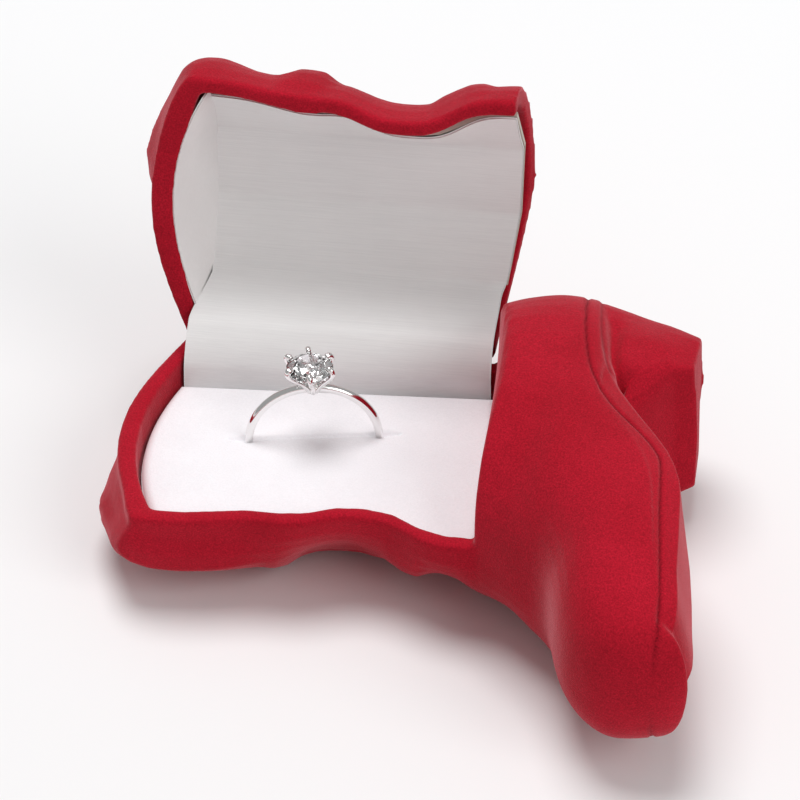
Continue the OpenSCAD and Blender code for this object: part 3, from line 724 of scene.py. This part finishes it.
def make_satin():
    """The lid's lining and the flap over the hinge, as one sheet of cloth."""
    nu, nv = 171, 281
    grid = np.zeros((nu, nv, 3))
    for i in range(nu):
        s = i / (nu - 1)
        path, t = cloth_path(lerp(2.2, SHAFT_LEN - 1.5, s), nv)
        y, z = closed(path[:, 0], path[:, 1])
        flap = ease(11.5, 7.5, path[:, 0]) * (path[:, 1] < 8)
        left = lerp(lerp(3.0, 2.2, np.clip(t / 9, 0, 1)),
                    lerp(0.8, 2.5, np.clip((path[:, 0] + 1) / 9, 0, 1)), flap)
        right = lerp(ankle_x(y) - 0.8 + set_back(z - 0.5), SHAFT_LEN - 2.45, flap)
        grid[i] = np.stack([lerp(left, right, s), path[:, 0], path[:, 1]], -1)
    normal = grid_normals(grid)
    if normal[nu // 2, nv // 3, 1] > 0:
        normal = -normal
    obj = solid_sheet("satin_lining", grid, normal, 0.3, SATIN)
    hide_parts("lid_satin", "satin_flap")
    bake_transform(obj)


make_satin()


def make_end_card():
    """White card that closes the lining's left end."""
    nu, nv = 41, 81
    y = np.linspace(-0.925, -0.12, nv) * SHAFT_W
    corner = np.array([fold_pt(MID_Y - FRONT_FOLD * IN_HALF, 0) + [1.2, -0.9], *CREASES])
    top = np.interp(y, corner[:, 0], corner[:, 1]) - 0.75
    inner = left_x(y) + WALL
    s = np.linspace(0, 1, nu)[:, None]
    x = lerp(inner + 0.55, 2.4 + 0.9 * ease(-0.6, -0.84, y / SHAFT_W), s)
    z = lerp(0.7, top, s)
    yy, zz = opened(y[None] + 0 * s, z)
    grid = np.stack([x, yy, zz], -1)
    normal = grid_normals(grid)
    if normal[nu // 2, nv // 2, 0] < 0:
        normal = -normal
    obj = solid_sheet("end_card", grid, normal, 0.25, WHITE_CARD)
    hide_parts("lid_end_card")
    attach(obj, "lid")


make_end_card()


# ---------------------------------------------------------------- ring
def turned(x, y, a):
    return x * math.cos(a) - y * math.sin(a), x * math.sin(a) + y * math.cos(a)


def ring_place(p):
    """Points from the ring's own axes, Z up through the stone, to the frame."""
    p = np.array(p, float)
    p[:, 0] -= RING_LEAN * np.maximum(0, p[:, 2] - RING_R)
    x, y = turned(p[:, 0], p[:, 1], RING_TURN)
    return at(np.stack([x + RING_AT[0], y + RING_AT[1], p[:, 2] + RING_Z], -1))


def make_band():
    """Slender band: flat sides, a crowned and polished outer face."""
    w, r0, r1 = 0.6, RING_R - 1.1, RING_R
    prof = [(r0, -w + 0.12), (r0, w - 0.12), (r0 + 0.04, w - 0.04), (r0 + 0.12, w)]
    prof += [(r1 - 0.42, w), (r1 - 0.34, w - 0.015), (r1 - 0.28, w - 0.05)]
    prof += [(r1 - 0.28 * (k / 6) ** 2, w * k / 6 * 0.93) for k in range(5, -6, -1)]
    prof += [(r1 - 0.28, -w + 0.05), (r1 - 0.34, -w + 0.015), (r1 - 0.42, -w), (r0 + 0.12, -w),
             (r0 + 0.04, -w + 0.04)]
    n, m = 288, len(prof)
    pts = [(r * math.cos(a), b, r * math.sin(a)) for a in np.linspace(0, 2 * math.pi, n, endpoint=False)
           for r, b in prof]
    faces = [(i * m + j, i * m + (j + 1) % m, ((i + 1) % n) * m + (j + 1) % m, ((i + 1) % n) * m + j)
             for i in range(n) for j in range(m)]
    obj = add_mesh("solitaire_band", ring_place(pts), faces, SILVER)
    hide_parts("ring_band")
    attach(obj, "base")


def tube(path, radii, sides=20):
    """A closed tube along a path that lies in a plane through Z, with rounded ends."""
    path, radii = np.asarray(path, float), np.asarray(radii, float)
    d = np.gradient(path, axis=0)
    d /= np.linalg.norm(d, axis=1, keepdims=True)
    side = np.cross(d, [0, 1, 0])
    rows = []
    for k, (q, r) in enumerate(zip(path, radii)):
        a = np.linspace(0, 2 * math.pi, sides, endpoint=False)[:, None]
        rows.append(q + r * (np.cos(a) * side[k] + np.sin(a) * np.array([0, 1, 0])))
    pts = np.vstack(rows)
    faces = grid_faces(len(path), sides, 0, True)
    faces += [tuple(range(sides))[::-1], tuple(range((len(path) - 1) * sides, len(path) * sides))]
    return pts, faces


def make_setting():
    """Six claws that rise from one point of the band and curl over the stone."""
    g, rr = GIRDLE, RING_R
    line = [(0.5, rr - 1.2), (0.9, rr - 0.5), (1.65, rr + 0.45), (2.6, rr + 1.4), (3.35, g - 0.35),
            (3.6, g + 0.3), (3.42, g + 0.82), (2.98, g + 0.92)]
    n, tip = 44, 0.42
    c = catmull(line, n)
    r = np.interp(np.linspace(0, 1, n), [0, 0.3, 0.6, 0.8, 0.95, 1], [0.40, 0.33, 0.35, 0.42, 0.45, tip])
    last = c[-1] - c[-2]
    last /= np.linalg.norm(last)
    for k in range(1, 7):
        a = k / 6 * math.pi / 2
        c = np.vstack([c, c[n - 1] + last * tip * math.sin(a)])
        r = np.append(r, max(tip * math.cos(a), 0.02))
    verts, faces, k = [], [], 0
    for i in range(6):
        pts, f = tube(np.stack([c[:, 0], 0 * c[:, 0], c[:, 1]], -1), r)
        x, y = turned(pts[:, 0], pts[:, 1], math.radians(60 * i + 30))
        verts.append(np.stack([x, y, pts[:, 2]], -1))
        faces += [tuple(k + v for v in q) for q in f]
        k += len(pts)
    cup = catmull([(0.0, rr - 0.5), (0.62, rr - 0.45), (0.66, rr - 0.1), (0.82, rr + 0.22), (0.95, rr + 0.42),
                   (0.86, rr + 0.47), (0.4, rr + 0.3), (0.0, rr + 0.25)], 40)
    n = 48
    pts = [(max(q, 0.003) * math.cos(a), max(q, 0.003) * math.sin(a), z) for q, z in cup
           for a in np.linspace(0, 2 * math.pi, n, endpoint=False)]
    verts.append(np.array(pts))
    faces += [tuple(f) for f in grid_faces(len(cup), n, k, True)]
    faces += [tuple(range(k, k + n))[::-1], tuple(range(k + (len(cup) - 1) * n, k + len(cup) * n))]
    obj = add_mesh("solitaire_claws", ring_place(np.vstack(verts)), faces, SILVER)
    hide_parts("ring_setting")
    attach(obj, "base")


def make_stone():
    """Round brilliant, its facets from the hull of the cut's own points."""
    r, g = 3.3, GIRDLE + 0.04
    # Rings of points: radius and height in shares of r, count, and turn in degrees.
    rows = [(0.55, 0.33, 8, 0), (0.8, 0.2, 8, 22.5), (1, 0.03, 16, 11.25), (1, -0.02, 16, 11.25),
            (0.5, -0.45, 8, 22.5), (0.02, -0.86, 4, 0)]
    pts = [(*turned(r * q, 0, math.radians(360 / n * i + turn)), g + r * z)
           for q, z, n, turn in rows for i in range(n)]
    bm = bmesh.new()
    for q in ring_place(pts):
        bm.verts.new(q)
    hull = bmesh.ops.convex_hull(bm, input=bm.verts)
    inside = [e for e in hull["geom_interior"] if isinstance(e, bmesh.types.BMVert)]
    bmesh.ops.delete(bm, geom=inside, context="VERTS")
    bmesh.ops.dissolve_limit(bm, angle_limit=math.radians(0.6), verts=bm.verts, edges=bm.edges)
    mesh = bpy.data.meshes.new("brilliant")
    bm.to_mesh(mesh)
    bm.free()
    obj = bpy.data.objects.new("brilliant", mesh)
    bpy.context.scene.collection.objects.link(obj)
    mesh.materials.append(CRYSTAL)
    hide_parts("ring_stone")
    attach(obj, "base")


make_band()
make_setting()
make_stone()


# ---------------------------------------------------------------- floor and light
def area(name, place, aim, size, power, tint):
    """A round area light that points at aim."""
    data = bpy.data.lights.new(name, "AREA")
    data.shape, data.size, data.energy, data.color = "DISK", size, power, tint
    obj = bpy.data.objects.new(name, data)
    bpy.context.scene.collection.objects.link(obj)
    d = Vector(place) - Vector(aim)
    obj.matrix_world = Matrix.Translation(place) @ d.to_track_quat("Z", "Y").to_matrix().to_4x4()


def make_stage():
    """A pale floor painted lighter toward the back as painted light, an even white surround, a key light above
    and a fill light from the right.
    """
    n = Nodes("pale_floor")
    y = n.node("SeparateXYZ", {0: n.coord}, out=1)
    # Painted light: the floor's colour goes from darker at the front to lighter at the back, standing in for the
    # light's falloff.
    far = n.node("MapRange", {"Value": y, "From Min": -0.10, "From Max": 0.22, "To Min": 0.0, "To Max": 1.0})
    tone = n.mix(far, (0.87, 0.862, 0.867), (0.93, 0.937, 0.945))
    n.set(Base_Color=tone, Roughness=0.7)
    n.set(Specular_IOR_Level=0.2)
    floor = add_mesh("floor", [(-3, -3, 0), (3, -3, 0), (3, 3, 0), (-3, 3, 0)], [(0, 1, 2, 3)], n.mat)

    world = bpy.data.worlds.new("world")
    bpy.context.scene.world = world
    world.use_nodes = True
    background = world.node_tree.nodes["Background"]
    background.inputs[0].default_value = (1.0, 1.0, 1.0, 1)
    background.inputs[1].default_value = 0.36

    area("key", (-0.12, 0.16, 1.05), (0.0, 0.0, 0.02), 0.6, 7.2, (1.0, 1.0, 1.0))
    area("fill", (0.62, -0.42, 0.55), (0.02, 0.0, 0.02), 0.6, 2.6, (1.0, 0.99, 0.98))


make_stage()
bpy.context.scene.view_settings.view_transform = "Standard"
